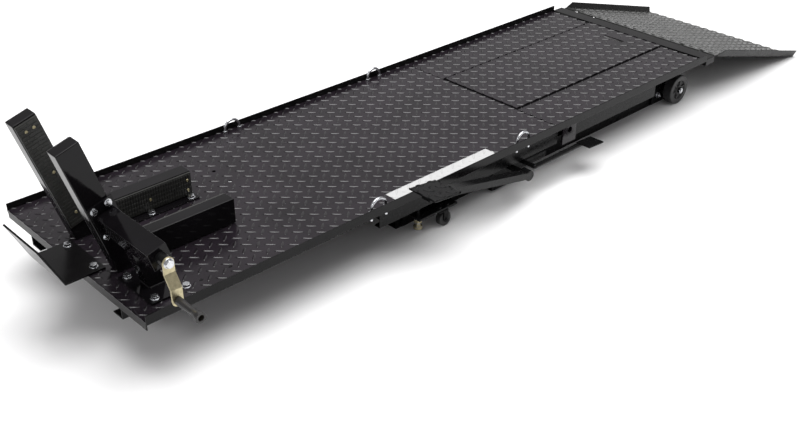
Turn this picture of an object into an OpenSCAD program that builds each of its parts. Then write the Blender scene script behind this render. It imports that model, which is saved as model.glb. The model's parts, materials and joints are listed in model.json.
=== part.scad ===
// Low foot-pumped scissor lift table for a motorcycle, lowered, with a wheel
// vise at the front, a lift-off panel at the rear and a hinged loading ramp.
// Millimetres. +X runs from the vise to the ramp, -Y is the pedal side, +Z up.
// Origin: on the floor, under the middle cross member of the base.

/* [Deck] */
// Length of the deck from its front edge to the ramp
deck_len = 2197; // [1600:1:2600]
// Full width of the deck over its side flanges
deck_w = 660; // [500:1:900]
// Height of the tread above the floor when lowered
deck_h = 165; // [160:1:220]
// Thickness of the tread plate
plate_t = 3; // [2:0.5:6]
// Distance of the deck's front edge in front of the origin
deck_front = 1300; // [900:1:1500]
// Height of the side flanges above the tread
flange_up = 18; // [5:1:60]
// Where the front tread plate ends, from the front edge
seam_x = 1390; // [1200:1:1500]
// Width of the lift-off panel
door_w = 314; // [200:1:330]
// Height of the side beams under the tread
beam_h = 64; // [30:1:70]

/* [Scissor] */
// Distance between the end pins of each arm
arm_len = 1040; // [800:1:1200]
// Depth of the arm bars
arm_h = 44; // [30:1:44]
// Thickness of the arm bars
arm_t = 20; // [10:1:24]
// Height of the base rails and of the deck runners
rail_h = 50; // [46:1:60]
// Radius of the arm pins
pin_r = 10; // [6:0.5:12]

/* [Vise] */
// Forward lean of the uprights from vertical
lean = 16.5; // [0:0.5:30]
// Length of the uprights along their lean
upright_len = 350; // [200:1:450]
// Depth of the uprights
upright_d = 60; // [40:1:70]
// Width of the uprights and of the jaw rails
jaw_w = 38; // [25:1:50]
// Height of the jaw rails
rail_up = 70; // [40:1:100]
// Clear width between the pads when fully open
jaw_gap = 146; // [100:1:180]
// Thickness of the rubber pads
pad_t = 6; // [3:1:12]
// Outside size of the square screw sleeve
sleeve_s = 48; // [40:1:60]
// Distance from the crank's shaft to its grip
crank_r = 84; // [60:1:120]

/* [Ramp and wheels] */
// Length of the ramp plate from its hinge
ramp_len = 590; // [400:1:900]
// Width of the ramp over its side lips
ramp_w = 650; // [400:1:660]
// Radius of the rear wheels
wheel_r = 50; // [30:1:60]
// Radius of the caster wheels
caster_r = 22; // [15:1:24]

/* [Hidden] */
$fn = 48;
// Radial running clearance of every pin and shaft
fit = 0.05;
// Side clearance between parts that move past each other
gap = 0.5;
dx = -deck_front;
hw = deck_w / 2;
z_top = deck_h;
z_pl = deck_h - plate_t;
x_end = dx + deck_len;
xs = dx + seam_x;
flange_t = 3;
// Open strip between the tread sheets and the end bar
strip_slot = 14;
// Clearance of the drop-out panel at its near and front edges
door_gap = 10;
bar_w = 47;
bar_h = 22;
bar_x = x_end - bar_w;
// Channel section shared by the base rails and the deck runners
wall = 3;
ch_in = 175;
ch_out = 215;
roller_r = rail_h / 2 - wall - gap;
// Scissor pivots
pv_x = dx + 932;
pv_z = rail_h / 2;
top_z = z_pl - rail_h / 2;
th = asin((top_z - pv_z) / arm_len);
run = arm_len * cos(th);
mid_x = pv_x + run / 2;
mid_z = (pv_z + top_z) / 2;
in_y = 125;
out_y = 150;
// Hydraulic cylinder, as polar sizes about the lower arm pivot
lev_r = 110;
lev_a = 62;
lev_x = pv_x + lev_r * cos(lev_a);
lev_z = pv_z + lev_r * sin(lev_a);
cyl_z = 58;
cyl_a = 11.8;
// Distance from the cylinder's foot to the lift pin, when lowered
cyl_s = sqrt(pow(lev_x, 2) + pow(lev_z - cyl_z, 2));
// Vise lines
vx = dx + 57;
pad_y = jaw_gap / 2 - 3;
fix_y = pad_y + pad_t;
mov_y = -(jaw_gap / 2 + 3) - pad_t;
rail_end = dx + 386;
scr_x = 36;
scr_z = 146;
sleeve_t = 3;
scr_r = 8;
sleeve_y1 = -(hw + 8);
crank_y = sleeve_y1 - 27;
// Ramp hinge
hx = x_end + 16;
hz = z_top - 15;
rp_z = 8;
rp_t = 4;
lip_lean = 20;
ramp_a = asin(hz / sqrt(pow(ramp_len, 2) + pow(rp_z, 2))) + atan(rp_z / ramp_len);
// Pedals
pump_x = dx + 1222;
pump_z = 82;
rel_x = dx + 1266;
rel_z = 88;
// Outrigger, caster and levelling screw
out_x = dx + 855;
out_z = 61;
lev_bx = dx + 876;
lev_up = 8;
lev_by = hw - 68;
cas_x = dx + 937;
cas_y = hw - 45;
whl_x = x_end - 93;
// Outboard lines that follow the deck's width
whl_y = hw - 92;
out_y1 = hw - 25;

// ---------------------------------------------------------------- helpers

// Box between two corners
module box(x0, x1, y0, y1, z0, z1) {
  translate([x0, y0, z0]) cube([x1 - x0, y1 - y0, z1 - z0]);
}

// Cylinder along Y between two Y values
module ycyl(x, y0, y1, z, r) {
  translate([x, y0, z]) rotate([-90, 0, 0]) cylinder(r = r, h = y1 - y0);
}

// Cylinder along Z between two heights
module zcyl(x, y, z0, z1, r) {
  translate([x, y, z0]) cylinder(r = r, h = z1 - z0);
}

// Hexagon along Z, across corners
module hex(x, y, z0, z1, r) {
  translate([x, y, z0]) cylinder(r = r, h = z1 - z0, $fn = 6);
}

// Copy on both sides of the centreline
module both() {
  children();
  mirror([0, 1, 0]) children();
}

// Channel along X on the far side, open towards the centreline
module channel(x0, x1, y0, y1, z0, z1, t) {
  difference() {
    box(x0, x1, y0, y1, z0, z1);
    box(x0 - 1, x1 + 1, y0 - 1, y1 - t, z0 + t, z1 - t);
  }
}

// Rectangular tube along X
module tube_x(x0, x1, y0, y1, z0, z1, t) {
  difference() {
    box(x0, x1, y0, y1, z0, z1);
    box(x0 - 1, x1 + 1, y0 + t, y1 - t, z0 + t, z1 - t);
  }
}

// Rectangular tube along Y
module tube_y(x0, x1, y0, y1, z0, z1, t) {
  difference() {
    box(x0, x1, y0, y1, z0, z1);
    box(x0 + t, x1 - t, y0 - 1, y1 + 1, z0 + t, z1 - t);
  }
}

// Frame of the leaning uprights: local z runs up the lean
module leaning() {
  translate([vx, 0, z_top]) rotate([0, -lean, 0]) children();
}

// ------------------------------------------------------------------- deck

// Diameter-11 holes for moving the vise back
vise_holes = [[180, -270], [260, -270], [500, 68], [500, 143]];
// Bolts that hold the vise, the stop and the fixed rail
deck_bolts = [[26, 62], [26, -62], [59.5, -154], [59.5, -270], [141, -270],
  [255, 58], [372, 58]];
tie_x = [684, 1235];
tie_y = hw - 14;
tie_s = 25;
tie_d = 8;
tie_c = 9;

module front_plate() {
  color([0.30, 0.28, 0.31])
  difference() {
    box(dx, xs, -hw + flange_t, hw - flange_t, z_pl, z_top);
    for (p = vise_holes) zcyl(dx + p[0], p[1], z_pl - 1, z_top + 1, 5.5);
    for (p = deck_bolts) zcyl(dx + p[0], p[1], z_pl - 1, z_top + 1, 5 + fit);
    for (x = tie_x, d = [-tie_s, tie_s], s = [-1, 1])
      zcyl(dx + x + d, s * tie_y, z_pl - 1, z_top + 1, tie_d / 2 + fit);
  }
}

module rear_plates() {
  color([0.30, 0.28, 0.31])
  both() box(xs + 2, bar_x - strip_slot, door_w / 2 + 2, hw - flange_t, z_pl, z_top);
}

// Smooth bar across the rear end, with the ears and pins of the ramp hinge
module end_bar() {
  color([0.26, 0.25, 0.27])
  union() {
    tube_y(bar_x, x_end, -hw + flange_t, hw - flange_t, z_top - bar_h, z_top, 4);
    both() {
      for (y = [185, 263]) {
        box(x_end, hx, y, y + 12, hz - 7, hz + 7);
        ycyl(hx, y, y + 12, hz, 7);
      }
      ycyl(hx, 185, 275, hz, 5);
    }
  }
}

module side_flanges() {
  color([0.24, 0.23, 0.25])
  both() {
    box(dx, bar_x, hw - flange_t, hw, z_pl - 4, z_top + flange_up);
    box(bar_x - 1, x_end, hw - flange_t, hw, z_top - bar_h, z_top);
  }
}

module front_apron() {
  color([0.27, 0.26, 0.28])
  box(dx, dx + 3, -hw + flange_t, hw - flange_t, z_top - 22, z_pl);
}

beam_y = hw - 28;
beam_w = 22;
// Locking bar bore through the side plates and the runners
lock_x = dx + 1470;
lock_z = z_top - 40;
lock_r = 9;

module side_beams() {
  color([0.10, 0.10, 0.10])
  both() {
    channel(dx + 700, dx + 1412, beam_y - beam_w, beam_y, z_pl - beam_h, z_pl, 3);
    channel(dx + 1500, x_end - 292, beam_y - beam_w, beam_y, z_pl - beam_h, z_pl, 3);
  }
}

// Plate on each side with the bore for a safety bar
module lock_plates() {
  color([0.13, 0.13, 0.13])
  both() difference() {
    box(dx + 1438, dx + 1500, beam_y - 6, beam_y, z_top - 82, z_pl);
    ycyl(lock_x, beam_y - 7, beam_y + 1, lock_z, lock_r);
  }
}

module deck_runners() {
  color([0.10, 0.10, 0.10])
  both() difference() {
    channel(dx + 3, bar_x, ch_in, ch_out, z_pl - rail_h, z_pl, wall);
    ycyl(lock_x, ch_out - wall - 1, ch_out + 1, lock_z, lock_r);
  }
}

// Cross bars, outboard ties, panel ledges and the upper arm lugs
module deck_crossbars() {
  bw = beam_y - beam_w;
  color([0.10, 0.10, 0.10])
  union() {
    for (x = [76, 440, 830])
      box(dx + x, dx + x + 30, -ch_in, ch_in, z_pl - 30, z_pl);
    both() {
      for (x = [830, 1200, 1376, 1700, 1870])
        box(dx + x, dx + x + 30, ch_out, bw, z_pl - 30, z_pl);
      box(xs + 15, bar_x, door_w / 2 - 20, ch_in, z_pl - 3, z_pl);
      difference() {
        union() {
          box(pv_x - 20, pv_x + 20, out_y - 8.5, out_y - gap, top_z, z_pl);
          ycyl(pv_x, out_y - 8.5, out_y - gap, top_z, 20);
          box(pv_x - 20, pv_x + 20, out_y + arm_t + gap, ch_in, top_z, z_pl);
          ycyl(pv_x, out_y + arm_t + gap, ch_in, top_z, 20);
        }
        ycyl(pv_x, out_y - 10, ch_in + 1, top_z, pin_r + fit);
      }
      ycyl(pv_x, out_y - 8.5, ch_in, top_z, pin_r);
    }
    box(xs - 15, xs + 28, -ch_in, ch_in, z_pl - 3, z_pl);
    box(bar_x - 20, bar_x, -door_w / 2 + 20, door_w / 2 - 20, z_pl - 3, z_pl);
  }
}

// U-shaped bar through the tread with a nut on each leg
module tie_down(x, y) {
  zc = z_top + tie_c;
  r = tie_d / 2;
  translate([x, y, 0]) {
    for (s = [-1, 1]) {
      zcyl(s * tie_s, 0, z_pl - 17, zc, r);
      difference() {
        hex(s * tie_s, 0, z_pl - 8, z_pl, 7.5);
        zcyl(s * tie_s, 0, z_pl - 9, z_pl + 1, r);
      }
      difference() {
        hex(s * tie_s, 0, z_top, z_top + 6, 7.5);
        zcyl(s * tie_s, 0, z_top - 1, z_top + 7, r);
      }
    }
    translate([0, 0, zc]) rotate([90, 0, 0])
      rotate_extrude(angle = 180) translate([tie_s, 0]) circle(r = r, $fn = 20);
  }
}

module tie_downs() {
  color([0.75, 0.76, 0.78])
  for (x = tie_x, s = [-1, 1]) tie_down(dx + x, s * tie_y);
}

module blank_strip() {
  color([0.93, 0.93, 0.92])
  box(dx + 752, dx + 1132, -312, -268, z_top, z_top + 0.4);
}

// ------------------------------------------------------------------- vise

// Hex bolt through the tread: washer, head and shank
module deck_bolt(x, y, z) {
  zcyl(x, y, z, z + 1.6, 10.5);
  hex(x, y, z + 1.6, z + 8, 9);
  zcyl(x, y, z_pl - 12, z, 5);
  difference() {
    hex(x, y, z_pl - 8, z_pl, 9);
    zcyl(x, y, z_pl - 9, z_pl + 1, 5);
  }
}

stop_t = 5;
stop_a = 65;
stop_up = 120;
base_t = 6;
foot_t = 4;

module vise_bolts() {
  color([0.80, 0.81, 0.83]) {
    for (s = [-1, 1]) deck_bolt(dx + 26, s * 62, z_top + stop_t);
    for (y = [-154, -270]) deck_bolt(dx + 59.5, y, z_top + base_t);
    deck_bolt(dx + 141, -270, z_top);
    for (x = [255, 372]) deck_bolt(dx + x, 58, z_top + foot_t);
  }
}

// Bent plate that the tyre rolls against, its front part rising forward
module wheel_stop() {
  u = [-cos(stop_a), sin(stop_a)];
  n = [sin(stop_a), cos(stop_a)] * stop_t;
  c = [-57, 0];
  k = (stop_t - n[1]) / u[1];
  color([0.30, 0.28, 0.31])
  difference() {
    translate([dx, 82, z_top]) rotate([90, 0, 0])
      linear_extrude(height = 164) polygon([
        c, [45, 0], [45, stop_t], c + n + u * k, c + n + u * stop_up,
        c + u * stop_up]);
    for (s = [-1, 1])
      zcyl(dx + 26, s * 62, z_top - 1, z_top + stop_t + 1, 5 + fit);
  }
}

// Leaning box with its foot cut level and its end closed
module upright(y, z0) {
  difference() {
    leaning() translate([0, y, -40]) cube([upright_d, jaw_w, upright_len + 40]);
    box(dx - 200, dx + 300, y - 1, y + jaw_w + 1, z_top - 100, z_top + z0);
  }
}

// Jaw rail, mitred against the rear face of its upright
module jaw_bar(y, z0) {
  difference() {
    box(dx + 60, rail_end, y, y + jaw_w, z_top + z0, z_top + rail_up);
    leaning() translate([-100, y - 1, -100])
      cube([100 + upright_d, jaw_w + 2, 400]);
  }
}

module fixed_upright() {
  color([0.15, 0.15, 0.15]) upright(fix_y, 0);
}

// Fixed rail with a bolted foot along its inner side
module fixed_rail() {
  color([0.15, 0.15, 0.15])
  difference() {
    union() {
      jaw_bar(fix_y, 0);
      box(dx + 122, rail_end + 4, fix_y - 30, fix_y, z_top, z_top + foot_t);
    }
    for (x = [255, 372])
      zcyl(dx + x, 58, z_top - 1, z_top + foot_t + 1, 5 + fit);
  }
}

// Pad on an upright and pad on its rail, on the face that meets the tyre
module pad_pair(y) {
  leaning() translate([2, y, 42])
    cube([upright_d - 4, pad_t, upright_len - 46]);
  box(dx + 132, rail_end - 2, y, y + pad_t, z_top + 6, z_top + rail_up - 2);
}

module fixed_pads() {
  color([0.10, 0.10, 0.09]) pad_pair(pad_y);
}

jaw_lift = 2;

module jaw_upright() {
  color([0.15, 0.15, 0.15]) upright(mov_y - jaw_w, jaw_lift);
}

module jaw_rail() {
  color([0.15, 0.15, 0.15]) jaw_bar(mov_y - jaw_w, jaw_lift);
}

module jaw_pads() {
  color([0.10, 0.10, 0.09]) pad_pair(mov_y);
}

jf_y = mov_y - jaw_w;
jf_t = 5;
jb = [[15, 110], [53, 110], [15, 184], [53, 184]];
inner_s = sleeve_s - 2 * sleeve_t - 2 * gap;

// Flange, sliding inner tube and nut that move the jaw
module jaw_slide() {
  h = inner_s / 2;
  color([0.12, 0.12, 0.12])
  leaning() difference() {
    union() {
      translate([4, jf_y - jf_t, 98]) cube([64, jf_t, 98]);
      translate([scr_x - h, -300, scr_z - h])
        cube([inner_s, jf_y - jf_t + 300, inner_s]);
    }
    translate([scr_x - h + 3, -280, scr_z - h + 3])
      cube([inner_s - 6, jf_y - jf_t + 280, inner_s - 6]);
    ycyl(scr_x, -301, -279, scr_z, scr_r + 0.3);
    for (p = jb) ycyl(p[0], jf_y - jf_t - 1, jf_y + 1, p[1], 4 + fit);
  }
}

module jaw_bolts() {
  color([0.80, 0.81, 0.83])
  leaning() for (p = jb) {
    ycyl(p[0], jf_y - jf_t - 1.5, jf_y - jf_t, p[1], 9);
    translate([p[0], jf_y - jf_t - 1.5, p[1]]) rotate([90, 0, 0])
      cylinder(r = 7.5, h = 5.5, $fn = 6);
    ycyl(p[0], jf_y - jf_t, jf_y, p[1], 4);
  }
}

// Base plate and leaning post that carry the screw sleeve
module screw_base() {
  color([0.14, 0.14, 0.14])
  difference() {
    union() {
      box(dx + 43, dx + 124, -284, -140, z_top, z_top + base_t);
      difference() {
        leaning() translate([17, -228, -20])
          cube([40, jaw_w, scr_z - sleeve_s / 2 + 20]);
        box(dx, dx + 200, -229, -189, z_top - 60, z_top + base_t);
      }
    }
    for (y = [-154, -270])
      zcyl(dx + 59.5, y, z_top - 1, z_top + base_t + 1, 5 + fit);
  }
}

// Square sleeve with the end plate that bears the screw
module screw_sleeve() {
  h = sleeve_s / 2;
  y0 = jf_y - jf_t - 2;
  color([0.15, 0.15, 0.15])
  leaning() difference() {
    translate([scr_x - h, sleeve_y1, scr_z - h])
      cube([sleeve_s, y0 - sleeve_y1, sleeve_s]);
    translate([scr_x - h + sleeve_t, sleeve_y1 + 6, scr_z - h + sleeve_t])
      cube([sleeve_s - 2 * sleeve_t, y0 - sleeve_y1, sleeve_s - 2 * sleeve_t]);
    ycyl(scr_x, sleeve_y1 - 1, sleeve_y1 + 7, scr_z, scr_r + fit);
  }
}

module lead_screw() {
  color([0.60, 0.60, 0.60])
  leaning() {
    ycyl(scr_x, crank_y - 9, -150, scr_z, scr_r);
    ycyl(scr_x, sleeve_y1 + 6 + gap, sleeve_y1 + 16, scr_z, 12);
  }
}

// Centre of the screw in the part's own frame
cx = vx + scr_x * cos(lean) - scr_z * sin(lean);
cz = z_top + scr_x * sin(lean) + scr_z * cos(lean);
arm_w = 28;
bar_t = 4.5;
jog = 20;
gy = crank_y - jog;

// Flat bar with a double bend, plus the bolt the grip spins on
module crank_arm() {
  color([0.88, 0.84, 0.62])
  difference() {
    union() {
      ycyl(cx, crank_y - bar_t, crank_y, cz, arm_w / 2);
      translate([cx - arm_w / 2, 0, cz]) rotate([90, 0, 90])
        linear_extrude(height = arm_w) polygon([
          [crank_y, 0], [crank_y, -26], [gy, -56], [gy, -crank_r],
          [gy - bar_t, -crank_r], [gy - bar_t, -54.5],
          [crank_y - bar_t, -24.5], [crank_y - bar_t, 0]]);
      ycyl(cx, gy - bar_t, gy, cz - crank_r, arm_w / 2);
      ycyl(cx, gy - 75, gy - bar_t, cz - crank_r, 4);
      translate([cx, gy - 75, cz - crank_r]) rotate([90, 0, 0])
        cylinder(r = 6.2, h = 4);
    }
    ycyl(cx, crank_y - bar_t - 1, sleeve_y1, cz, scr_r + 0.02);
  }
}

// Spacer between the end plate of the sleeve and the crank arm
module screw_collar() {
  color([0.10, 0.10, 0.10])
  difference() {
    ycyl(cx, crank_y, sleeve_y1 - gap, cz, 14);
    ycyl(cx, crank_y - 1, sleeve_y1, cz, scr_r + 0.02);
  }
}

module crank_grip() {
  color([0.08, 0.08, 0.08])
  translate([cx, gy - bar_t - gap, cz - crank_r]) rotate([90, 0, 0])
  difference() {
    union() {
      cylinder(r1 = 10, r2 = 8.5, h = 58);
      translate([0, 0, 58]) cylinder(r1 = 8.5, r2 = 13, h = 18);
      translate([0, 0, 76]) cylinder(r = 13, h = 9);
    }
    translate([0, 0, -1]) cylinder(r = 4 + fit, h = 87);
    translate([0, 0, 69]) cylinder(r = 7, h = 20);
  }
}

// ----------------------------------------------------------- panel and ramp

module door_panel() {
  color([0.30, 0.28, 0.31])
  difference() {
    box(xs + door_gap + 2, bar_x - 3, -door_w / 2 + door_gap - 2, door_w / 2,
      z_pl, z_top);
    box(bar_x - 83, bar_x - 65, -40, 40, z_pl - 1, z_top + 1);
  }
}

module door_ribs() {
  color([0.10, 0.10, 0.10])
  for (y = [-105, 80]) box(xs + 30, bar_x - 30, y, y + 25, z_pl - 16, z_pl);
}

// Frame of the ramp: local x runs down the slope from the hinge
module sloping() {
  translate([hx, 0, hz]) rotate([0, ramp_a, 0]) children();
}

module ramp_plate() {
  rw = ramp_w / 2 - 3;
  color([0.42, 0.44, 0.42])
  sloping() union() {
    difference() {
      translate([-8, -rw, rp_z]) cube([ramp_len + 8, 2 * rw, rp_t]);
      both() for (y = [184, 262])
        translate([-9, y, rp_z - 1]) cube([21, 14, rp_t + 2]);
      both() translate([0, 199, 0]) rotate([-90, 0, 0])
        cylinder(r = 5 + fit, h = 62);
    }
    both() difference() {
      ycyl(0, 199, 261, 0, 9);
      ycyl(0, 198, 262, 0, 5 + fit);
    }
  }
}

// Raised edge on each side, cut back at the hinge end
module ramp_lips() {
  y0 = ramp_w / 2 - 3;
  color([0.16, 0.16, 0.16])
  sloping() both() translate([0, y0, rp_z]) rotate([-lip_lean, 0, 0])
    translate([0, 3, -rp_z]) rotate([90, 0, 0])
    linear_extrude(height = 3) polygon([
      [6, rp_z], [ramp_len - 2, rp_z], [ramp_len - 2, rp_z + 26],
      [44, rp_z + 26], [6, rp_z + 6]]);
}

module ramp_ribs() {
  color([0.12, 0.12, 0.12])
  sloping() for (y = [-150, 120])
    translate([40, y, rp_z - 20]) cube([470, 30, 20]);
}

// ------------------------------------------------------------------- base

base_x0 = dx + 838;
base_x1 = x_end - 125;

module base_rails() {
  color([0.10, 0.10, 0.10])
  both() channel(base_x0, base_x1, ch_in, ch_out, 0, rail_h, wall);
}

module base_crossmembers() {
  color([0.10, 0.10, 0.10])
  union() {
    tube_y(base_x0, base_x0 + 35, -ch_in, ch_in, 0, rail_h, wall);
    tube_y(-20, 20, -ch_in, ch_in, 0, 30, wall);
    tube_y(base_x1 - 35, base_x1, -ch_in, ch_in, 0, rail_h, wall);
  }
}

// Lugs and pins of the lower arm pivots, and the cylinder's foot
module base_lugs() {
  x0 = base_x0 + 35;
  yi = in_y - gap;
  yo = in_y + arm_t + gap;
  color([0.12, 0.12, 0.12])
  union() {
    both() {
      difference() {
        union() {
          box(x0, pv_x, yi - 7, yi, 4, pv_z + 20);
          ycyl(pv_x, yi - 7, yi, pv_z, 20);
          box(x0, pv_x, yo, yo + 7, 4, pv_z + 20);
          ycyl(pv_x, yo, yo + 7, pv_z, 20);
        }
        ycyl(pv_x, yi - 8, yo + 8, pv_z, pin_r + fit);
      }
      ycyl(pv_x, yi - 7, yo + 7, pv_z, pin_r);
      difference() {
        union() {
          box(-16, 16, 21, 29, 30, cyl_z);
          ycyl(0, 21, 29, cyl_z, 16);
        }
        ycyl(0, 20, 30, cyl_z, 8 + fit);
      }
    }
    ycyl(0, -29, 29, cyl_z, 8);
  }
}

// Bracket outside each rail for the caster and the levelling screw
module outriggers() {
  x1 = dx + 985;
  color([0.12, 0.12, 0.12])
  both() difference() {
    union() {
      box(out_x, x1, ch_out, ch_out + 6, 4, out_z + 6);
      box(out_x - 14, x1, ch_out, out_y1, out_z, out_z + 6);
      translate([x1 - 6, ch_out + 6, 0]) rotate([90, 0, 90])
        linear_extrude(height = 6) polygon([[0, 6], [0, out_z], [34, out_z]]);
      for (x = [cas_x - 15, cas_x + 15], y = [cas_y - 12, cas_y + 12])
        hex(x, y, out_z + 6, out_z + 11, 6);
    }
    zcyl(lev_bx, lev_by, out_z - 1, out_z + 7, 6.5 + fit);
    zcyl(cas_x, cas_y, out_z - 1, out_z + 12, 6 + fit);
  }
}

// Plate, stub axle and end nut for each rear wheel
module wheel_mounts() {
  color([0.13, 0.13, 0.13])
  both() union() {
    box(whl_x - 84, whl_x + 22, ch_out, ch_out + 6, 4, wheel_r + 20);
    ycyl(whl_x, ch_out + 6, whl_y + 38, wheel_r, 8);
    ycyl(whl_x, ch_out + 6, whl_y - 2, wheel_r, 14);
    translate([whl_x, whl_y + 38, wheel_r]) rotate([-90, 0, 0])
      cylinder(r = 8, h = 0.1, $fn = 6);
    translate([whl_x, whl_y + 32.6, wheel_r]) rotate([-90, 0, 0])
      cylinder(r = 11, h = 7, $fn = 6);
    ycyl(whl_x - 52, ch_out + 6, ch_out + 8, 34, 12);
    translate([whl_x - 52, ch_out + 8, 34]) rotate([-90, 0, 0])
      cylinder(r = 9.5, h = 7, $fn = 6);
  }
}

pump_y0 = ch_out;
pump_y1 = ch_out + 46;

// Foot pump outside the near rail, with its fluid tank
module pump_unit() {
  color([0.11, 0.11, 0.11])
  mirror([0, 1, 0]) difference() {
    union() {
      box(pump_x - 45, rel_x + 30, pump_y0, pump_y1, 8, 104);
      translate([rel_x + 30, (pump_y0 + pump_y1) / 2, 48]) rotate([0, 90, 0])
        cylinder(r = 22, h = 120);
    }
    ycyl(pump_x, pump_y0 - 1, pump_y1 + 1, pump_z, 9 + fit);
    ycyl(rel_x, pump_y0 - 1, pump_y1 + 1, rel_z, 7 + fit);
  }
}

// Frame of the cylinder: local x runs from its foot to the lift pin
module along_cyl() {
  translate([0, 0, cyl_z]) rotate([0, 180 + cyl_a, 0]) children();
}

// Cylinder along local x
module xcyl(x0, x1, r) {
  translate([x0, 0, 0]) rotate([0, 90, 0]) cylinder(r = r, h = x1 - x0);
}

module lift_barrel() {
  color([0.12, 0.12, 0.12])
  along_cyl() difference() {
    union() {
      xcyl(26, 228, 28);
      translate([0, -20.5, -14]) cube([28, 41, 28]);
      ycyl(0, -20.5, 20.5, 0, 15);
    }
    xcyl(38, 212, 23.5);
    xcyl(205, 230, 14 + fit);
    ycyl(0, -22, 22, 0, 8 + fit);
  }
}

// Piston, rod and a slotted head around the lift pin
module lift_rod() {
  color([0.72, 0.73, 0.75])
  along_cyl() difference() {
    union() {
      xcyl(42, 60, 23.5 - fit);
      xcyl(60, cyl_s - 20, 14);
      translate([cyl_s - 26, -20, -23]) cube([54, 40, 46]);
    }
    translate([cyl_s - pin_r - 0.7, -21, -pin_r - 3.2])
      cube([2 * pin_r + 1.4, 42, 2 * pin_r + 6.4]);
  }
}

// ---------------------------------------------------------------- scissor

// Arm bar on the far side, from its lower pin to its upper pin
module arm(x0, z0, dir, y0) {
  translate([x0, y0, z0]) rotate([0, -th, 0]) difference() {
    union() {
      translate([0, 0, -arm_h / 2]) cube([arm_len, arm_t, arm_h]);
      for (x = [0, arm_len]) translate([x, 0, 0]) rotate([-90, 0, 0])
        cylinder(r = arm_h / 2, h = arm_t);
    }
    for (x = [0, arm_len / 2, arm_len])
      translate([x, -1, 0]) rotate([-90, 0, 0])
        cylinder(r = pin_r + fit, h = arm_t + 2);
  }
}

module inner_arm() {
  arm(pv_x, pv_z, 1, in_y);
}

module outer_arm() {
  translate([mid_x, 0, 0]) mirror([1, 0, 0]) translate([-mid_x, 0, 0])
    arm(pv_x, pv_z, 1, out_y);
}

module inner_arm_near() {
  color([0.12, 0.12, 0.12]) mirror([0, 1, 0]) inner_arm();
}

module inner_arm_far() {
  color([0.12, 0.12, 0.12]) inner_arm();
}

module outer_arm_near() {
  color([0.14, 0.14, 0.14]) mirror([0, 1, 0]) outer_arm();
}

module outer_arm_far() {
  color([0.14, 0.14, 0.14]) outer_arm();
}

// Torque tube at the lower pivot, the lift lever and the upper cross tube
module inner_cross() {
  ye = in_y - 8;
  color([0.12, 0.12, 0.12])
  union() {
    ycyl(pv_x, -ye, ye, pv_z, 18);
    both() {
      translate([pv_x, 22, pv_z]) rotate([0, -lev_a, 0])
        translate([0, 1, -14]) cube([lev_r, 8, 28]);
      ycyl(lev_x, 22, 32, lev_z, 17);
      translate([pv_x, 0, pv_z]) rotate([0, -th, 0]) {
        translate([0, ye - 14, -12]) cube([64, 12, 24]);
        translate([60, ye - 14, -12]) cube([40, in_y - ye + 14, 24]);
      }
    }
    ycyl(lev_x, -30, 30, lev_z, pin_r);
    translate([pv_x, 0, pv_z]) rotate([0, -th, 0])
      translate([760, -in_y, 0]) rotate([-90, 0, 0])
        cylinder(r = 16, h = 2 * in_y);
  }
}

// Rollers in the deck runners, their axles and the centre pins
module inner_rollers() {
  color([0.45, 0.45, 0.46])
  both() {
    ycyl(pv_x + run, in_y, ch_out - wall - 3, top_z, pin_r);
    ycyl(pv_x + run, ch_in + 5, ch_out - wall - 5, top_z, roller_r);
    ycyl(mid_x, in_y, out_y + arm_t + 3, mid_z, pin_r);
  }
}

// Cross tube of the outer arms, and the rollers in the base rails
module outer_cross() {
  color([0.13, 0.13, 0.13])
  union() {
    translate([pv_x + run, 0, pv_z]) rotate([0, th, 0])
      translate([-250, -out_y, 0]) rotate([-90, 0, 0])
        cylinder(r = 16, h = 2 * out_y);
    both() {
      ycyl(pv_x + run, out_y, ch_out - wall - 3, pv_z, pin_r);
      ycyl(pv_x + run, ch_in + 5, ch_out - wall - 5, pv_z, roller_r);
    }
  }
}

// ---------------------------------------------------------------- pedals

pad_tilt = 6;
pad_front = dx + 769;
pad_top = 205;
pad_len = 95;
lever_y = -(hw + 18);
lever_rise = 15.5;
lever_yaw = 5.7;

// Frame of the pump pad: local x runs back along its tilt, z 0 is its underside
module on_pad() {
  translate([pad_front, 0, pad_top - 4]) rotate([0, pad_tilt, 0]) children();
}

// Pivot shaft and arm of the pump pedal, outside the deck's edge
module pump_lever() {
  color([0.12, 0.12, 0.12])
  difference() {
    union() {
      ycyl(pump_x, lever_y - 14, -pump_y0 - 2, pump_z, 9);
      ycyl(pump_x, lever_y - 14, lever_y + 14, pump_z, 16);
      translate([pump_x, lever_y, pump_z]) rotate([0, lever_rise, 0])
        rotate([0, 0, lever_yaw]) translate([-420, -14, -10])
        cube([420, 28, 20]);
      on_pad() translate([14, lever_y - 54, -14]) cube([72, 30, 14]);
    }
    on_pad() translate([-20, lever_y - 102, 0]) cube([160, 150, 40]);
  }
}

// Tread pad at the front end of the pump pedal
module pump_pad() {
  color([0.22, 0.21, 0.23])
  on_pad() translate([0, lever_y - 84, 0]) cube([pad_len, 95, 4]);
}

rel_y = -(hw + 11);
rel_front = rel_x + 196;

// Frame of the release pad: z 0 is its underside
module on_release() {
  translate([rel_front, 0, rel_z + 5.5]) rotate([0, 3, 0]) children();
}

// Round bar bent outward at its pivot and running back under its pad
module release_lever() {
  color([0.12, 0.12, 0.12])
  difference() {
    union() {
      ycyl(rel_x, rel_y, -pump_y0 - 2, rel_z, 7);
      translate([rel_x, rel_y, rel_z]) sphere(r = 7);
      translate([rel_x, rel_y, rel_z]) rotate([0, 90, 0])
        cylinder(r = 7, h = 256);
    }
    on_release() translate([0, rel_y - 59, 0]) cube([100, 100, 20]);
  }
}

// Small pad at the rear end of the release pedal
module release_pad() {
  color([0.14, 0.14, 0.14])
  on_release() translate([0, rel_y - 44, 0]) cube([68, 50, 4]);
}

// ---------------------------------------------------------------- wheels

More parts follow.
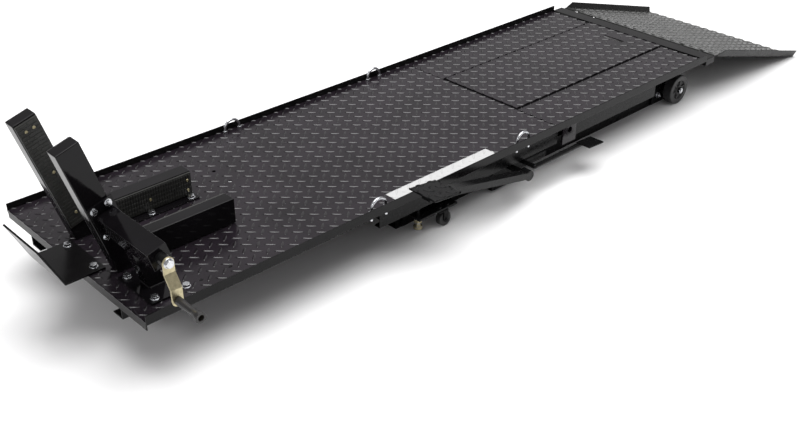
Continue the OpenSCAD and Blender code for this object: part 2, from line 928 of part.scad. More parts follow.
// Rear wheel on the far side, with a rim recess in its outer face
module rear_wheel() {
  difference() {
    ycyl(whl_x, whl_y, whl_y + 32, wheel_r, wheel_r);
    ycyl(whl_x, whl_y - 1, whl_y + 33, wheel_r, 8 + fit);
    difference() {
      ycyl(whl_x, whl_y + 26, whl_y + 33, wheel_r, wheel_r * 0.64);
      ycyl(whl_x, whl_y + 25, whl_y + 34, wheel_r, wheel_r * 0.34);
    }
  }
}

module rear_wheel_near() {
  color([0.07, 0.07, 0.07]) mirror([0, 1, 0]) rear_wheel();
}

module rear_wheel_far() {
  color([0.07, 0.07, 0.07]) rear_wheel();
}

cas_off = 14;

// Swivelling fork on the far side, with the wheel's axle trailing
module caster_fork() {
  wx = cas_x + cas_off;
  union() {
    zcyl(cas_x, cas_y, out_z - 12, out_z + 12, 6);
    box(cas_x - 16, wx + 8, cas_y - 13, cas_y + 13, out_z - 12, out_z - 9);
    for (s = [-1, 1]) {
      box(wx - 10, wx + 8, cas_y + s * 11.5 - 1.5, cas_y + s * 11.5 + 1.5,
        caster_r, out_z - 9);
      ycyl(wx, cas_y + s * 11.5 - 1.5, cas_y + s * 11.5 + 1.5, caster_r, 9);
    }
    ycyl(wx, cas_y - 15, cas_y + 15, caster_r, 4);
  }
}

module caster_fork_near() {
  color([0.78, 0.79, 0.80]) mirror([0, 1, 0]) caster_fork();
}

module caster_fork_far() {
  color([0.78, 0.79, 0.80]) caster_fork();
}

module caster_wheel() {
  wx = cas_x + cas_off;
  difference() {
    ycyl(wx, cas_y - 9, cas_y + 9, caster_r, caster_r);
    ycyl(wx, cas_y - 10, cas_y + 10, caster_r, 4 + fit);
  }
}

module caster_wheel_near() {
  color([0.07, 0.07, 0.07]) mirror([0, 1, 0]) caster_wheel();
}

module caster_wheel_far() {
  color([0.07, 0.07, 0.07]) caster_wheel();
}

// Levelling screw with its foot and lock nut
module level_foot() {
  zcyl(lev_bx, lev_by, lev_up, lev_up + 10, 12);
  zcyl(lev_bx, lev_by, lev_up + 10, lev_up + 104, 6.5);
  hex(lev_bx, lev_by, lev_up + 20, lev_up + 31, 10.5);
}

module level_foot_near() {
  color([0.80, 0.81, 0.83]) mirror([0, 1, 0]) level_foot();
}

module level_foot_far() {
  color([0.80, 0.81, 0.83]) level_foot();
}

front_plate();
rear_plates();
end_bar();
side_flanges();
front_apron();
side_beams();
lock_plates();
deck_runners();
deck_crossbars();
tie_downs();
blank_strip();
wheel_stop();
fixed_upright();
fixed_rail();
fixed_pads();
vise_bolts();
screw_base();
screw_sleeve();
jaw_upright();
jaw_rail();
jaw_pads();
jaw_slide();
jaw_bolts();
lead_screw();
screw_collar();
crank_arm();
crank_grip();
door_panel();
door_ribs();
ramp_plate();
ramp_lips();
ramp_ribs();
base_rails();
base_crossmembers();
base_lugs();
outriggers();
wheel_mounts();
pump_unit();
lift_barrel();
lift_rod();
inner_arm_near();
inner_arm_far();
inner_cross();
inner_rollers();
outer_arm_near();
outer_arm_far();
outer_cross();
pump_lever();
pump_pad();
release_lever();
release_pad();
rear_wheel_near();
rear_wheel_far();
caster_fork_near();
caster_fork_far();
caster_wheel_near();
caster_wheel_far();
level_foot_near();
level_foot_far();
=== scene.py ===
"""Looks of a low motorcycle lift table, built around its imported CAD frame."""

import json
import math

import bmesh
import bpy
import numpy as np
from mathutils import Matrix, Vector


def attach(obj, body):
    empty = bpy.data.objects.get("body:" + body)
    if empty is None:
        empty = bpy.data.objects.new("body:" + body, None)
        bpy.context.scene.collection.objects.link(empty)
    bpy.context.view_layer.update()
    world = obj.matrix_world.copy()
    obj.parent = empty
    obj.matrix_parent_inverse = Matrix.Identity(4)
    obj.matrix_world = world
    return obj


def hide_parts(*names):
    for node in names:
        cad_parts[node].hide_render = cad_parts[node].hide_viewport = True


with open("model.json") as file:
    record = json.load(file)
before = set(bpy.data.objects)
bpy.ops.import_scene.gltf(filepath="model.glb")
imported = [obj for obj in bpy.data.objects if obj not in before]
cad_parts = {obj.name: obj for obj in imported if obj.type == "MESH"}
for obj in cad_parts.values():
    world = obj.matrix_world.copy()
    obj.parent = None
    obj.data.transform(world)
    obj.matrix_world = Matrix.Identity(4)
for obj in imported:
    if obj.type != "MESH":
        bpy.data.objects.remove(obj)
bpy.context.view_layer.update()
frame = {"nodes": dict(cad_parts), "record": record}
nodes = frame["nodes"]

# ------------------------------------------------------------------ sizes
DX = -1.300          # row X of the deck's front edge
Z_TOP = 0.165        # top of the tread plate
HALF_W = 0.330       # half the width over the side flanges
FLANGE_T = 0.003
SEAM_X = DX + 1.390
BAR_X = DX + 2.150   # where the plates end at the smooth end bar
DOOR_HALF = 0.157
LEAN = math.radians(16.5)
DECK_END = DX + 2.197
PANEL_GAP = 0.002    # around the rear sheets
DOOR_GAP = 0.010     # at the door panel's near and front edges
DOOR_END_GAP = 0.003
STRIP_SLOT = 0.014   # open strip before the end bar
VX = DX + 0.057      # foot of the leaning uprights
UPRIGHT_DEPTH = 0.060
RAIL_UP = 0.070      # height of the jaw rails over the tread plate
SCREW_X = 0.036      # clamp screw, in the uprights' frame
SCREW_Z = 0.146
CRANK_Y = -0.365
WHEEL_X = DECK_END - 0.093
WHEEL_Z = 0.050
LEVEL_X = DX + 0.876
LEVEL_Y = 0.262


# -------------------------------------------------------------- materials
class Tree:
    """A small helper that adds and links shader nodes."""

    def __init__(self, name):
        self.mat = bpy.data.materials.new(name)
        self.mat.use_nodes = True
        self.nt = self.mat.node_tree
        self.nt.nodes.clear()
        self.out = self.add("ShaderNodeOutputMaterial")
        self.bsdf = self.add("ShaderNodeBsdfPrincipled")
        self.link(self.bsdf, "BSDF", self.out, "Surface")
        self.coord = self.add("ShaderNodeTexCoord")

    def add(self, kind, **values):
        node = self.nt.nodes.new(kind)
        for key, value in values.items():
            if key in node.inputs:
                node.inputs[key].default_value = value
            else:
                setattr(node, key, value)
        return node

    def link(self, a, out, b, into):
        self.nt.links.new(a.outputs[out], b.inputs[into])

    def noise(self, scale, detail=3.0, rough=0.5, stretch=None):
        node = self.add("ShaderNodeTexNoise", Scale=scale, Detail=detail, Roughness=rough)
        if stretch is None:
            self.link(self.coord, "Object", node, "Vector")
        else:
            mapping = self.add("ShaderNodeMapping", Scale=stretch)
            self.link(self.coord, "Object", mapping, "Vector")
            self.link(mapping, "Vector", node, "Vector")
        return node

    def ramp(self, source, out, stops):
        node = self.add("ShaderNodeValToRGB")
        ramp = node.color_ramp
        while len(ramp.elements) > 1:
            ramp.elements.remove(ramp.elements[-1])
        ramp.elements[0].position = stops[0][0]
        ramp.elements[0].color = stops[0][1]
        for place, colour in stops[1:]:
            ramp.elements.new(place).color = colour
        self.link(source, out, node, "Fac")
        return node

    def bump(self, source, out, strength, distance, normal=None):
        node = self.add("ShaderNodeBump", Strength=strength, Distance=distance)
        self.link(source, out, node, "Height")
        if normal is not None:
            self.link(normal, "Normal", node, "Normal")
        return node


def rgba(c, k=1.0):
    return (c[0] * k, c[1] * k, c[2] * k, 1.0)


def grey(v):
    return (v, v, v, 1.0)


def paint(name, colour, rough=(0.14, 0.26), specular=0.5, peel=0.12, tone=0.35):
    """Powder coat: slight cloudiness, uneven gloss and orange peel."""
    t = Tree(name)
    cloud = t.noise(7.0, 4.0, 0.6)
    tint = t.ramp(cloud, "Fac", [(0.3, rgba(colour, 1 - tone)), (0.7, rgba(colour, 1 + tone))])
    t.link(tint, "Color", t.bsdf, "Base Color")
    smear = t.noise(23.0, 5.0, 0.65)
    gloss = t.ramp(smear, "Fac", [(0.3, grey(rough[0])), (0.72, grey(rough[1]))])
    t.link(gloss, "Color", t.bsdf, "Roughness")
    fine = t.noise(420.0, 2.0, 0.5)
    peel_bump = t.bump(fine, "Fac", peel, 0.0006)
    wave = t.noise(26.0, 2.0, 0.5)
    wave_bump = t.bump(wave, "Fac", 0.10, 0.002, peel_bump)
    t.link(wave_bump, "Normal", t.bsdf, "Normal")
    t.bsdf.inputs["Specular IOR Level"].default_value = specular
    return t.mat


def metal(name, colour, tone, rough=(0.22, 0.42), scratch=90.0):
    """Plated steel: mottled colour, fine drawn scratches."""
    t = Tree(name)
    patches = t.noise(130.0, 4.0, 0.6)
    tint = t.ramp(patches, "Fac", [(0.3, rgba(colour, 1 - tone)), (0.7, rgba(colour, 1 + tone * 0.6))])
    t.link(tint, "Color", t.bsdf, "Base Color")
    lines = t.noise(scratch, 4.0, 0.6, (1.0, 12.0, 12.0))
    gloss = t.ramp(lines, "Fac", [(0.3, grey(rough[0])), (0.7, grey(rough[1]))])
    t.link(gloss, "Color", t.bsdf, "Roughness")
    fine = t.noise(900.0, 2.0)
    t.link(t.bump(fine, "Fac", 0.15, 0.0004), "Normal", t.bsdf, "Normal")
    t.bsdf.inputs["Metallic"].default_value = 1.0
    return t.mat


def plastic(name, colour, rough=(0.3, 0.5), grain=700.0, strength=0.3, tone=0.2):
    t = Tree(name)
    cloud = t.noise(40.0, 4.0, 0.6)
    tint = t.ramp(cloud, "Fac", [(0.3, rgba(colour, 1 - tone)), (0.7, rgba(colour, 1 + tone))])
    t.link(tint, "Color", t.bsdf, "Base Color")
    smear = t.noise(75.0, 3.0, 0.6)
    gloss = t.ramp(smear, "Fac", [(0.3, grey(rough[0])), (0.7, grey(rough[1]))])
    t.link(gloss, "Color", t.bsdf, "Roughness")
    fine = t.noise(grain, 3.0)
    t.link(t.bump(fine, "Fac", strength, 0.0004), "Normal", t.bsdf, "Normal")
    return t.mat


LOOKS = {
    "deck_black": paint("deck_black", (0.0115, 0.0088, 0.0118), (0.16, 0.28), 0.27),
    "frame_black": paint("frame_black", (0.0042, 0.0042, 0.0044), (0.20, 0.34), 0.12),
    "vise_black": paint("vise_black", (0.0034, 0.0030, 0.0036), (0.05, 0.11), 0.20, 0.03),
    "ramp_grey": paint("ramp_grey", (0.026, 0.0265, 0.0255), (0.24, 0.38), 0.34, tone=0.12),
    "zinc": metal("zinc", (0.60, 0.61, 0.63), 0.14, (0.14, 0.30)),
    "yellow_zinc": metal("yellow_zinc", (0.47, 0.42, 0.27), 0.2, (0.26, 0.44)),
    "pad_rubber": plastic("pad_rubber", (0.017, 0.017, 0.0155), (0.32, 0.5)),
    "grip_plastic": plastic("grip_plastic", (0.012, 0.011, 0.011), (0.26, 0.40)),
    "strip_white": plastic("strip_white", (0.48, 0.48, 0.478), (0.35, 0.5), 300.0, 0.1, 0.03),
    "wheel_poly": plastic("wheel_poly", (0.016, 0.016, 0.0165), (0.4, 0.6)),
}
# Much darker copy of the ramp grey: painted shade for the ramp's lips and ribs.
SHADED_RAMP = paint("ramp_dark", (0.0050, 0.0050, 0.0050), (0.22, 0.36), 0.14)

slots = {s["node"]: s["material_slot"] for s in frame["record"]["subparts"]}
for name, obj in nodes.items():
    obj.data.materials.clear()
    obj.data.materials.append(LOOKS[slots[name]])
# Darker, less glossy copy of the deck paint: painted shade for the deck's vertical faces.
SHADED_EDGE_BLACK = paint("edge_black", (0.0050, 0.0047, 0.0050), (0.16, 0.28), 0.14)
# Lighter, glossier copy of the ramp grey: painted highlight on the ramp's lugs.
HIGHLIT_RAMP_LUG = paint("ramp_lug", (0.060, 0.061, 0.059), (0.10, 0.2), 0.6, 0.04, 0.1)
# Darker, glossier copy of the deck paint: painted shade along the tread lugs.
SHADED_LUG_BLACK = paint("lug_black", (0.0075, 0.0062, 0.0078), (0.07, 0.14), 0.62, 0.04)
# Ramp lips and ribs wear the darker ramp copy: painted shade.
for name in ("ramp_lips", "ramp_ribs"):
    nodes[name].data.materials[0] = SHADED_RAMP
# Side flanges, front apron, end bar and wheel stop wear the darker deck copy: painted shade.
for name in ("side_flanges", "front_apron", "end_bar", "wheel_stop"):
    nodes[name].data.materials[0] = SHADED_EDGE_BLACK

body_of_node = {n: b for b, listed in frame["record"]["behaviour"]["bodies"].items() for n in listed}


def piece(name, verts, faces, body, slot, smooth=True):
    """A mesh in row-frame metres that rides on a body and wears a slot's finish."""
    mesh = bpy.data.meshes.new(name)
    mesh.from_pydata([tuple(v) for v in verts], [], [tuple(f) for f in faces])
    mesh.update()
    obj = bpy.data.objects.new(name, mesh)
    bpy.context.scene.collection.objects.link(obj)
    mesh.materials.append(LOOKS[slot])
    if smooth:
        for polygon in mesh.polygons:
            polygon.use_smooth = True
    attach(obj, body)
    return obj


def rounded(name, width, segments=2, least=28.0):
    """The CAD node's own shape with its sharp edges rounded, standing for it."""
    source = nodes[name]
    bm = bmesh.new()
    bm.from_mesh(source.data)
    bm.transform(source.matrix_world)
    bmesh.ops.remove_doubles(bm, verts=bm.verts[:], dist=2e-6)
    bmesh.ops.dissolve_limit(bm, angle_limit=math.radians(0.6), verts=bm.verts[:], edges=bm.edges[:])
    sharp = [e for e in bm.edges if len(e.link_faces) == 2 and e.calc_face_angle(0.0) > math.radians(least)]
    bmesh.ops.bevel(bm, geom=sharp, offset=width, segments=segments, profile=0.5, affect="EDGES",
                    clamp_overlap=True)
    bmesh.ops.triangulate(bm, faces=[f for f in bm.faces if len(f.verts) > 4])
    mesh = bpy.data.meshes.new(name + "_rounded")
    bm.to_mesh(mesh)
    bm.free()
    obj = bpy.data.objects.new(name + "_rounded", mesh)
    bpy.context.scene.collection.objects.link(obj)
    mesh.materials.append(source.data.materials[0])
    for polygon in mesh.polygons:
        polygon.use_smooth = True
    mesh.set_sharp_from_angle(angle=math.radians(50))
    even = obj.modifiers.new("even", "WEIGHTED_NORMAL")
    even.mode = "FACE_AREA"
    even.weight = 100
    even.keep_sharp = True
    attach(obj, body_of_node[name])
    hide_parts(name)
    return obj


ROUND = {
    0.0028: "fixed_upright jaw_upright screw_sleeve jaw_slide",
    0.0022: "fixed_rail jaw_rail screw_base",
    0.0009: "wheel_stop crank_arm pump_pad release_pad ramp_lips side_beams outriggers",
    0.0007: "side_flanges front_apron",
    0.0020: "end_bar pump_lever pump_unit caster_wheel_near caster_wheel_far level_foot_near "
            "level_foot_far",
    0.0030: "rear_wheel_near rear_wheel_far",
    0.0008: "vise_bolts jaw_bolts tie_downs wheel_mounts caster_fork_near caster_fork_far crank_grip",
}
for width, listed in ROUND.items():
    for name in listed.split():
        rounded(name, width, 3 if width > 0.0015 else 2)


def loft(rings, closed_ends=True):
    """Vertices and faces through rings of equally many points."""
    n = len(rings[0])
    verts = [p for ring in rings for p in ring]
    faces = []
    for k in range(len(rings) - 1):
        for i in range(n):
            a, b = k * n + i, k * n + (i + 1) % n
            faces.append((a, b, b + n, a + n))
    if closed_ends:
        faces.append(tuple(reversed(range(n))))
        faces.append(tuple(range((len(rings) - 1) * n, len(rings) * n)))
    return verts, faces


def turned(at, axis, profile, sides=24, flats=None):
    """A turned shape: profile of (radius, height) along axis from at, with the rings in flats hexagonal."""
    z = Vector(axis).normalized()
    x = z.orthogonal().normalized()
    y = z.cross(x)
    rings = []
    for k, (radius, height) in enumerate(profile):
        ring = []
        for i in range(sides):
            a = 2 * math.pi * i / sides
            r = radius
            if flats is not None and k in flats:
                r = radius * math.cos(math.pi / 6) / math.cos((a % (math.pi / 3)) - math.pi / 6)
            ring.append(Vector(at) + x * (r * math.cos(a)) + y * (r * math.sin(a)) + z * height)
        rings.append(ring)
    return loft(rings)


def merge(parts):
    verts, faces = [], []
    for v, f in parts:
        base = len(verts)
        verts.extend(v)
        faces.extend(tuple(base + k for k in face) for face in f)
    return verts, faces


def crisp(obj, angle=34.0):
    obj.data.set_sharp_from_angle(angle=math.radians(angle))
    return obj


def lean(x, y, z):
    """A point of the leaning uprights' frame, in the row frame."""
    across = x * math.cos(LEAN) - z * math.sin(LEAN)
    up = x * math.sin(LEAN) + z * math.cos(LEAN)
    return Vector((VX + across, y, Z_TOP + up))


def lean_at(x, y, up):
    """The point of the uprights' frame at x and y that is that high over the tread plate."""
    return lean(x, y, (up - x * math.sin(LEAN)) / math.cos(LEAN))


BEAD_PITCH = 0.0045
BEAD_STEP = 0.0011


def bead(points, radius=0.0028):
    """A weld bead along a line of corner points, with its ripples."""
    line = [Vector(p) for p in points]
    turns = np.linspace(0, 2 * math.pi, 8, False)
    rings = []
    walked = 0.0
    for a, b in zip(line, line[1:]):
        length = (b - a).length
        along = (b - a) / length
        u = along.orthogonal().normalized()
        w = along.cross(u)
        steps = max(2, int(length / BEAD_STEP))
        for k in range(steps + 1):
            at = a + along * (length * k / steps)
            ripple = math.sin((walked + length * k / steps) * 2 * math.pi / BEAD_PITCH)
            r = radius * (0.86 + 0.14 * ripple)
            if (k == 0 and a is line[0]) or (k == steps and b is line[-1]):
                r *= 0.45
            rings.append([at + u * (r * math.cos(turn)) + w * (r * math.sin(turn)) for turn in turns])
        walked += length
    return loft(rings)


BRICK_FOOT = -0.0004
BRICK_HIGH = 0.0016
BRICK_TAPER = 0.0007
BRICK_LEAST = 0.0022


def brick(cx, cz, half_w, half_h):
    """One raised brick with rounded-off edges, its face towards local y."""
    rows = [
        (half_w, half_h, BRICK_FOOT),
        (half_w - BRICK_TAPER * 0.3, half_h - BRICK_TAPER * 0.3, BRICK_HIGH - BRICK_TAPER * 0.5),
        (half_w - BRICK_TAPER, half_h - BRICK_TAPER, BRICK_HIGH),
    ]
    rings = []
    for w, h, d in rows:
        rings.append([(cx - w, d, cz - h), (cx + w, d, cz - h), (cx + w, d, cz + h), (cx - w, d, cz + h)])
    return loft(rings)


def brick_pad(width, height, columns, courses, groove, bond):
    """Raised bricks on a pad face: x across, z up, y out of it. bond shifts every other course."""
    parts = []
    step_x, step_z = width / columns, height / courses
    for j in range(courses):
        shift = bond * (j % 2)
        for i in range(-1, columns + 1):
            a = max(0.0, (i + shift) * step_x + groove / 2)
            b = min(width, (i + 1 + shift) * step_x - groove / 2)
            if b - a < BRICK_LEAST:
                continue
            parts.append(brick((a + b) / 2, (j + 0.5) * step_z, (b - a) / 2, step_z / 2 - groove / 2))
    return merge(parts)


# Each pad: its name, the Y of its face, the way it faces and its body
PADS = (("fixed", 0.070, -1, "deck"), ("moving", -0.076, 1, "jaw"))
SCREW_DOME = [(0.0040, 0.0), (0.0040, 0.0009), (0.0034, 0.0019), (0.0019, 0.0025), (0.0017, 0.0017),
              (0.0004, 0.0016)]
UPRIGHT_SCREWS = ((0.020, 0.325), (0.040, 0.325), (0.030, 0.200), (0.030, 0.075))
RAIL_SCREWS = ((0.372, 0.050), (0.372, 0.022), (0.262, 0.036), (0.152, 0.050), (0.152, 0.022))
SCREW_SEAT = 0.0012


def facing(faces, out):
    """The faces turned so that they look out of a pad that faces -Y or +Y."""
    return faces if out < 0 else [tuple(reversed(face)) for face in faces]


for side, face_y, out, body in PADS:
    v, f = brick_pad(0.052, 0.300, 3, 32, 0.0020, 0.5)
    v = [lean(0.004 + p[0], face_y + out * p[1], 0.044 + p[2]) for p in v]
    crisp(piece(f"{side}_upright_bricks", v, facing(f, out), body, "pad_rubber"))
    v, f = brick_pad(0.248, 0.058, 34, 5, 0.0019, 0.0)
    v = [Vector((DX + 0.134 + p[0], face_y + out * p[1], Z_TOP + 0.008 + p[2])) for p in v]
    crisp(piece(f"{side}_rail_bricks", v, facing(f, out), body, "pad_rubber"))
    seat_y = face_y + out * SCREW_SEAT
    screws = [turned(lean(x, seat_y, z), (0, out, 0), SCREW_DOME, 18) for x, z in UPRIGHT_SCREWS]
    screws += [turned((DX + x, seat_y, Z_TOP + z), (0, out, 0), SCREW_DOME, 18) for x, z in RAIL_SCREWS]
    crisp(piece(f"{side}_pad_screws", *merge(screws), body, "yellow_zinc"))

# Weld beads: post to sleeve, post to its base plate, uprights to their rails
POST_CORNERS = ((0.017, -0.190), (0.017, -0.228), (0.057, -0.228), (0.057, -0.190))
POST_TOP = 0.122
BASE_PLATE = 0.006
beads = [
    bead([lean(x, y, POST_TOP) for x, y in POST_CORNERS]),
    bead([lean_at(x, y, BASE_PLATE) for x, y in POST_CORNERS]),
]
crisp(piece("screw_post_welds", *merge(beads), "deck", "vise_black"), 60)
for side, y0, y1, body in (("fixed", 0.076, 0.114, "deck"), ("jaw", -0.120, -0.082, "jaw")):
    path = [
        lean_at(UPRIGHT_DEPTH, y0, 0.010),
        lean_at(UPRIGHT_DEPTH, y0, RAIL_UP),
        lean_at(UPRIGHT_DEPTH, y1, RAIL_UP),
    ]
    crisp(piece(f"{side}_rail_weld", *bead(path, 0.0022), body, "vise_black"), 60)

# Washer and nut where the crank is fastened to the screw
CX, _, CZ = lean(SCREW_X, 0.0, SCREW_Z)
CRANK_WASHER = [(0.0120, 0), (0.0124, 0.0006), (0.0120, 0.0016), (0.0050, 0.0016)]
CRANK_NUT = [(0.0100, 0), (0.0104, 0.0008), (0.0104, 0.0048), (0.0088, 0.0062), (0.0060, 0.0062)]
fastener = [
    turned((CX, CRANK_Y - 0.0045, CZ), (0, -1, 0), CRANK_WASHER, 28),
    turned((CX, CRANK_Y - 0.0060, CZ), (0, -1, 0), CRANK_NUT, 36, (1, 2)),
]
crisp(piece("crank_nut", *merge(fastener), "crank", "zinc"))

# Yellow plated nut and foot of each levelling screw
LEVEL_NUT = [(0.0095, 0), (0.0118, 0.0012), (0.0118, 0.0088), (0.0095, 0.0102)]
LEVEL_PAD = [(0.0100, 0), (0.0128, 0.0016), (0.0128, 0.0080), (0.0104, 0.0104), (0.0072, 0.0150)]
for side, s, body in (("near", -1, "foot_n"), ("far", 1, "foot_f")):
    shapes = [
        turned((LEVEL_X, s * LEVEL_Y, 0.0285), (0, 0, 1), LEVEL_NUT, 36, (1, 2)),
        turned((LEVEL_X, s * LEVEL_Y, 0.0085), (0, 0, 1), LEVEL_PAD, 32),
    ]
    crisp(piece(f"level_nut_{side}", *merge(shapes), body, "yellow_zinc"))

# Hub nuts of the rear wheels, the washered bolts beside them, and the wheels' ribs
HUB_NUT = [(0.0095, 0), (0.0108, 0.0009), (0.0108, 0.0062), (0.0090, 0.0076), (0.0062, 0.0076),
           (0.0056, 0.0102), (0.0030, 0.0110)]
WASHER = [(0.0125, 0), (0.0130, 0.0006), (0.0125, 0.0016)]
SIDE_BOLT = WASHER + [(radius, WASHER[-1][1] + height) for radius, height in HUB_NUT]
RIBS = 6
RIB_HALF = 0.0026
RIB_FOOT = 0.0004
RIB_ROWS = ((0.0170, 0.0030), (0.0175, 0.0042), (0.0320, 0.0042), (0.0325, 0.0030))


def wheel_rib(k, s):
    """One radial rib in the recess of a rear wheel's outer face."""
    a = math.radians(360 / RIBS * k + 15)
    w = Vector((-math.sin(a), 0, math.cos(a))) * RIB_HALF
    out = Vector((0, s, 0))
    rows = []
    for reach, high in RIB_ROWS:
        at = Vector((WHEEL_X + reach * math.cos(a), s * 0.2640, WHEEL_Z + reach * math.sin(a)))
        foot = at - out * RIB_FOOT
        rows.append([foot - w * 1.25, foot + w * 1.25, at + w + out * high, at - w + out * high])
    return loft(rows)


for side, s, body in (("near", -1, "rear_wheel_n"), ("far", 1, "rear_wheel_f")):
    shapes = [
        turned((WHEEL_X, s * 0.2705, WHEEL_Z), (0, s, 0), HUB_NUT, 36, (1, 2)),
        turned((WHEEL_X - 0.052, s * 0.2228, 0.034), (0, s, 0), SIDE_BOLT, 36, (4, 5)),
    ]
    crisp(piece(f"wheel_nuts_{side}", *merge(shapes), "base", "zinc"))
    ribs = [wheel_rib(k, s) for k in range(RIBS)]
    crisp(piece(f"wheel_ribs_{side}", *merge(ribs), body, "wheel_poly"))

# ------------------------------------------------------------- tread lugs
LUG_PITCH_X = 0.0417
LUG_PITCH_Y = 0.0393
LUG_PHASE = (DX + 0.469, 0.0165)
LUG_HALF = 0.0155
LUG_WIDE = 0.0038
LUG_HIGH = 0.0021
LUG_SINK = 0.0002     # how far the lugs' feet reach into the sheet


def lug_shape():
    """One raised lug along local x: rows of points across it, closed at both ends."""
    stations = [-0.93, -0.7, -0.35, 0.0, 0.35, 0.7, 0.93]
    across = [-1.0, -0.6, 0.0, 0.6, 1.0]
    points = [(-LUG_HALF, 0.0, -LUG_SINK)]
    for s in stations:
        half = LUG_WIDE * (1 - abs(s) ** 2.2) ** 0.6
        high = LUG_HIGH * (1 - abs(s) ** 5) ** 0.5
        for a in across:
            sink = LUG_SINK if abs(a) == 1 else 0
            points.append((s * LUG_HALF, a * half, high * (1 - abs(a) ** 2.4) - sink))
    points.append((LUG_HALF, 0.0, -LUG_SINK))
    n = len(across)
    faces = []
    for j in range(n - 1):
        faces.append((0, 1 + j + 1, 1 + j))
        last = 1 + (len(stations) - 1) * n
        faces.append((len(points) - 1, last + j, last + j + 1))
    for i in range(len(stations) - 1):
        for j in range(n - 1):
            a = 1 + i * n + j
            faces.append((a, a + 1, a + n + 1, a + n))
    return np.array(points), faces


LUG_POINTS, LUG_FACES = lug_shape()


def lug_field(x0, x1, y0, y1, holes=(), skip=None):
    """Lug vertices and faces over a rectangle, in plate coordinates with z up from the plate."""
    verts, faces = [], []
    reach = LUG_HALF * 0.74
    i0 = math.floor((x0 - LUG_PHASE[0]) / LUG_PITCH_X) - 1
    i1 = math.ceil((x1 - LUG_PHASE[0]) / LUG_PITCH_X) + 1
    j0 = math.floor((y0 - LUG_PHASE[1]) / LUG_PITCH_Y) - 1
    j1 = math.ceil((y1 - LUG_PHASE[1]) / LUG_PITCH_Y) + 1
    for i in range(i0, i1 + 1):
        for j in range(j0, j1 + 1):
            for kind, turn in ((0, -1), (1, 1)):
                cx = LUG_PHASE[0] + (i + 0.5 * kind) * LUG_PITCH_X
                cy = LUG_PHASE[1] + (j + 0.5 * kind) * LUG_PITCH_Y
                if not (x0 - reach < cx < x1 + reach and y0 - reach < cy < y1 + reach):
                    continue
                if skip is not None and skip(cx, cy):
                    continue
                d = (math.sqrt(0.5), turn * math.sqrt(0.5))
                blocked = False
                for hx, hy, r in holes:
                    along = max(-LUG_HALF, min(LUG_HALF, (hx - cx) * d[0] + (hy - cy) * d[1]))
                    if math.hypot(hx - cx - along * d[0], hy - cy - along * d[1]) < r + 0.0025:
                        blocked = True
                if blocked:
                    continue
                p = LUG_POINTS
                x = np.clip(cx + p[:, 0] * d[0] - p[:, 1] * d[1], x0, x1)
                y = np.clip(cy + p[:, 0] * d[1] + p[:, 1] * d[0], y0, y1)
                base = len(verts) * len(p)
                verts.append(np.stack([x, y, p[:, 2]], 1))
                faces.extend(tuple(base + k for k in f) for f in LUG_FACES)
    return np.concatenate(verts), faces


# Places the lugs keep clear of: X, Y and radius
HOLES_AT = ((0.180, -0.270), (0.260, -0.270), (0.500, 0.068), (0.500, 0.143))
VISE_HOLES = [(DX + x, y, 0.0055) for x, y in HOLES_AT]
TIE_X = (0.684, 1.235)
TIE_LEGS = [(DX + x + d, s * 0.316, 0.009) for x in TIE_X for d in (-0.025, 0.025) for s in (-1, 1)]
STRIP = (DX + 0.752, DX + 1.132, -0.312, -0.268)


def on_strip(x, y):
    return STRIP[0] < x < STRIP[1] and STRIP[2] < y < STRIP[3]


def with_painted_light(obj, material):
    """Gives a piece a lighter or darker copy of its slot's finish, painting highlight or shade on it."""
    obj.data.materials[0] = material
    return obj


ON_DECK = np.array([0, 0, Z_TOP])
edge = HALF_W - FLANGE_T
v, f = lug_field(DX, SEAM_X, -edge, edge, VISE_HOLES + TIE_LEGS, on_strip)
# Deck lugs in the darker lug paint: painted shade along each lug.
with_painted_light(piece("tread_lugs_front", v + ON_DECK, f, "deck", "deck_black"), SHADED_LUG_BLACK)
v, f = lug_field(STRIP[0], STRIP[1], STRIP[2], STRIP[3])
piece("strip_bumps", v + np.array([0, 0, Z_TOP + 0.0003]), f, "deck", "strip_white")
inner = DOOR_HALF + PANEL_GAP
# The rear sheets' and the door's lugs also wear the darker lug paint: painted shade.
for side, y0, y1 in (("near", -edge, -inner), ("far", inner, edge)):
    v, f = lug_field(SEAM_X + PANEL_GAP, BAR_X - STRIP_SLOT, y0, y1)
    with_painted_light(piece(f"tread_lugs_{side}", v + ON_DECK, f, "deck", "deck_black"), SHADED_LUG_BLACK)
slot_hole = [(DX + 2.076, y, 0.010) for y in np.linspace(-0.036, 0.036, 7)]
door_x0 = SEAM_X + PANEL_GAP + DOOR_GAP
door_y0 = -inner + DOOR_GAP
v, f = lug_field(door_x0, BAR_X - DOOR_END_GAP, door_y0, DOOR_HALF, slot_hole)
with_painted_light(piece("tread_lugs_door", v + ON_DECK, f, "door", "deck_black"), SHADED_LUG_BLACK)


def tipped(v, pivot, raised, angle):
    """Lugs laid on a face that is raised over the pivot (X, Z) and turned down about it by the angle."""
    x, z = v[:, 0] - pivot[0], v[:, 2] + raised
    c, s = math.cos(angle), math.sin(angle)
    return np.stack([pivot[0] + x * c + z * s, v[:, 1], pivot[1] - x * s + z * c], 1)


HINGE = (DECK_END + 0.016, Z_TOP - 0.015)
RAMP_LEN = 0.590
RAMP_HALF_W = 0.322
RAMP_UNDER = 0.008   # the ramp sheet's lower and upper faces over the hinge axis
RAMP_FACE = 0.012
ramp_angle = math.asin(HINGE[1] / math.hypot(RAMP_LEN, RAMP_UNDER)) + math.atan(RAMP_UNDER / RAMP_LEN)
v, f = lug_field(HINGE[0] + 0.013, HINGE[0] + RAMP_LEN, -RAMP_HALF_W, RAMP_HALF_W)
v = tipped(v, HINGE, RAMP_FACE, ramp_angle)
# Ramp lugs in the lighter lug grey: painted highlight.
with_painted_light(piece("tread_lugs_ramp", v, f, "ramp", "ramp_grey"), HIGHLIT_RAMP_LUG)

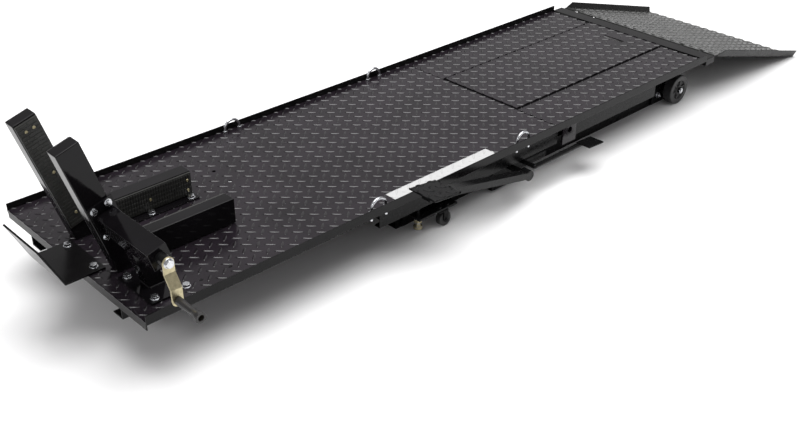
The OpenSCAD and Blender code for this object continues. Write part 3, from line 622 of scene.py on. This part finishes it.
PEDAL_AT = (DX + 0.769, 0.201)
PEDAL_LEN = 0.095
PEDAL_SHEET = 0.004
PEDAL_TILT = math.radians(6)
v, f = lug_field(PEDAL_AT[0], PEDAL_AT[0] + PEDAL_LEN, -0.432, -0.337)
piece("tread_lugs_pedal", tipped(v, PEDAL_AT, PEDAL_SHEET, PEDAL_TILT), f, "pump_pedal", "frame_black")

# ------------------------------------------------------------------ stage
CAMERA_AT = (-2.1566, -2.0356, 1.519)
camera_data = bpy.data.cameras.new("camera")
camera_data.sensor_fit = "HORIZONTAL"
camera_data.sensor_width = 36.0
camera_data.lens = 47.61
camera_data.clip_end = 100.0
camera = bpy.data.objects.new("camera", camera_data)
camera.location = CAMERA_AT
camera.rotation_euler = (math.radians(59.3), 0.0, math.radians(-43.2))
bpy.context.scene.collection.objects.link(camera)
bpy.context.scene.camera = camera

floor_mesh = bpy.data.meshes.new("floor")
half = 40.0
floor_corners = [(-half, -half, 0), (half, -half, 0), (half, half, 0), (-half, half, 0)]
floor_mesh.from_pydata(floor_corners, [], [(0, 1, 2, 3)])
floor = bpy.data.objects.new("floor", floor_mesh)
bpy.context.scene.collection.objects.link(floor)
floor.location.z = -0.0005
t = Tree("floor_white")
cloud = t.ramp(t.noise(0.6, 2.0), "Fac", [(0.3, grey(0.86)), (0.7, grey(0.90))])
t.link(cloud, "Color", t.bsdf, "Base Color")
t.bsdf.inputs["Roughness"].default_value = 0.9
t.bsdf.inputs["Specular IOR Level"].default_value = 0.1
floor_mesh.materials.append(t.mat)


def soft_light(name, at, look, size, power, colour=(1, 1, 1)):
    data = bpy.data.lights.new(name, "AREA")
    data.shape = "RECTANGLE"
    data.size, data.size_y = size
    data.energy = power
    data.color = colour
    light = bpy.data.objects.new(name, data)
    light.location = at
    light.rotation_euler = (Vector(look) - Vector(at)).to_track_quat("-Z", "Y").to_euler()
    bpy.context.scene.collection.objects.link(light)
    return light


soft_light("overhead", (0.0, -0.2, 4.2), (0.2, 0.0, 0.0), (5.0, 4.0), 300)
soft_light("behind", (3.2, 3.6, 3.0), (-0.2, 0.0, 0.2), (8.0, 4.5), 20)
soft_light("front", (-4.0, -1.4, 2.6), (-0.8, 0.0, 0.2), (1.0, 0.8), 26)

world = bpy.data.worlds.new("studio")
bpy.context.scene.world = world
world.use_nodes = True
wt = world.node_tree
wt.nodes["Background"].inputs["Color"].default_value = (1.0, 0.985, 1.0, 1.0)
wt.nodes["Background"].inputs["Strength"].default_value = 0.40

bpy.context.scene.view_settings.view_transform = "Standard"
